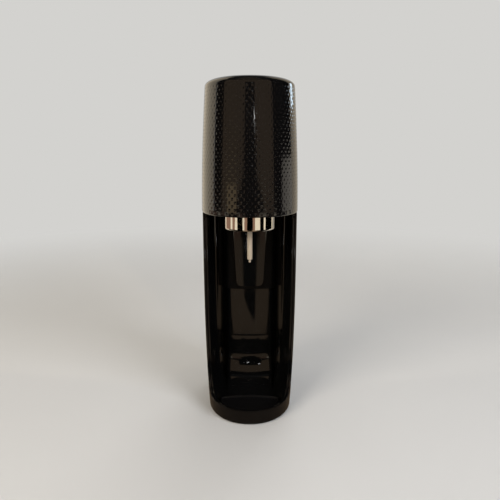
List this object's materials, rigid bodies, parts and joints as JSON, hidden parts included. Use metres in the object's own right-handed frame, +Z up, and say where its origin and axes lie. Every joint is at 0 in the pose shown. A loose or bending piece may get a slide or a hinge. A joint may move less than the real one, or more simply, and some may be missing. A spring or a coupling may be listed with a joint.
{
  "type": "sparkling water maker",
  "caption": "Tall press-top sparkling water maker: dotted gloss head with a hinged top button, open bottle bay, tilting bottle holder with metal collar, and a gas cylinder behind a rear cover.",
  "frame": {"origin": "on the surface it stands on, at the centre of the footprint box", "axes": "+Z up, the bottle bay faces -Y, +X to the right seen from the front"},
  "size_m": [0.124, 0.186, 0.43],
  "materials": {
    "gloss_black": "gloss moulded ABS",
    "inner_black": "gloss moulded ABS",
    "tray_grey": "satin moulded polypropylene",
    "chrome": "polished plating",
    "nozzle": "satin moulded acetal",
    "steel": "turned",
    "brass": "machined",
    "rubber": "moulded",
    "hose": "extruded",
    "nylon": "moulded glass-filled nylon",
    "alloy": "drawn, satin"
  },
  "bodies": {
    "frame": {"head_cover": "gloss_black", "body_shell": "gloss_black", "cavity_liner": "inner_black", "cavity_bowl": "inner_black", "back_panel": "inner_black", "base_plate": "nylon", "rubber_feet": "rubber", "base_screws": "steel", "head_under_plate": "inner_black", "head_frame": "nylon", "frame_screws": "steel", "button_hinge_pin": "steel", "plunger_spring": "steel", "plunger_seal": "rubber", "valve_block": "brass", "cylinder_socket": "brass", "socket_seal": "rubber", "block_screws": "steel", "relief_valve": "brass", "burst_plug": "brass", "block_fitting": "brass", "gas_hose": "hose", "swivel_fitting": "brass", "cylinder_cradle": "nylon", "cradle_pad": "rubber", "pivot_pins": "steel"},
    "button": {"top_button": "gloss_black", "press_lever": "nylon"},
    "plunger": {"plunger": "steel"},
    "gas_cylinder": {"gas_cylinder": "alloy", "cylinder_valve": "brass"},
    "valve_pin": {"valve_pin": "steel"},
    "holder": {"holder_carriage": "inner_black", "collar_ring": "chrome", "bottle_seal": "rubber", "nozzle_tube": "nozzle", "nozzle_tip": "nozzle", "nozzle_nut": "brass", "rear_shield": "inner_black"},
    "rear_cover": {"rear_cover": "gloss_black", "latch_spring": "steel"},
    "cover_latch": {"cover_latch": "gloss_black"},
    "drip_tray": {"drip_tray": "tray_grey"}
  },
  "joints": [
    {"name": "button_press", "type": "hinge", "parent": "frame", "child": "button", "pos_m": [0, 0.074, 0.404], "axis": [1, 0, 0], "range_deg": [0, 4], "stiffness_Nm_per_rad": 6, "springref_deg": -2.29},
    {"name": "plunger_travel", "type": "slide", "parent": "frame", "child": "plunger", "axis": [0, 0, -1], "range_m": [0, 0.0016], "deforming": ["plunger_spring"]},
    {"name": "cylinder_unscrew", "type": "hinge", "parent": "frame", "child": "gas_cylinder", "pos_m": [0, 0.052, 0], "axis": [0, 0, 1], "range_deg": [0, 360]},
    {"name": "pin_travel", "type": "slide", "parent": "gas_cylinder", "child": "valve_pin", "axis": [0, 0, -1], "range_m": [0, 0.0016]},
    {"name": "holder_tilt", "type": "hinge", "parent": "frame", "child": "holder", "pos_m": [0, -0.012, 0.302], "axis": [-1, 0, 0], "range_deg": [0, 14]},
    {"name": "cover_tip", "type": "hinge", "parent": "frame", "child": "rear_cover", "pos_m": [0, 0.0897, 0.014], "axis": [-1, 0, 0], "range_deg": [0, 20]},
    {"name": "latch_press", "type": "slide", "parent": "rear_cover", "child": "cover_latch", "axis": [0, -1, 0], "range_m": [0, 0.0025], "stiffness_N_per_m": 400, "springref_m": -0.003, "deforming": ["latch_spring"]},
    {"name": "tray_lift", "type": "slide", "parent": "frame", "child": "drip_tray", "axis": [0, 0, 1], "range_m": [0, 0.02]}
  ],
  "couplings": [
    {"joint": "plunger_travel", "follows": "button_press", "m_per_rad": 0.022},
    {"joint": "pin_travel", "follows": "button_press", "m_per_rad": 0.022}
  ]
}
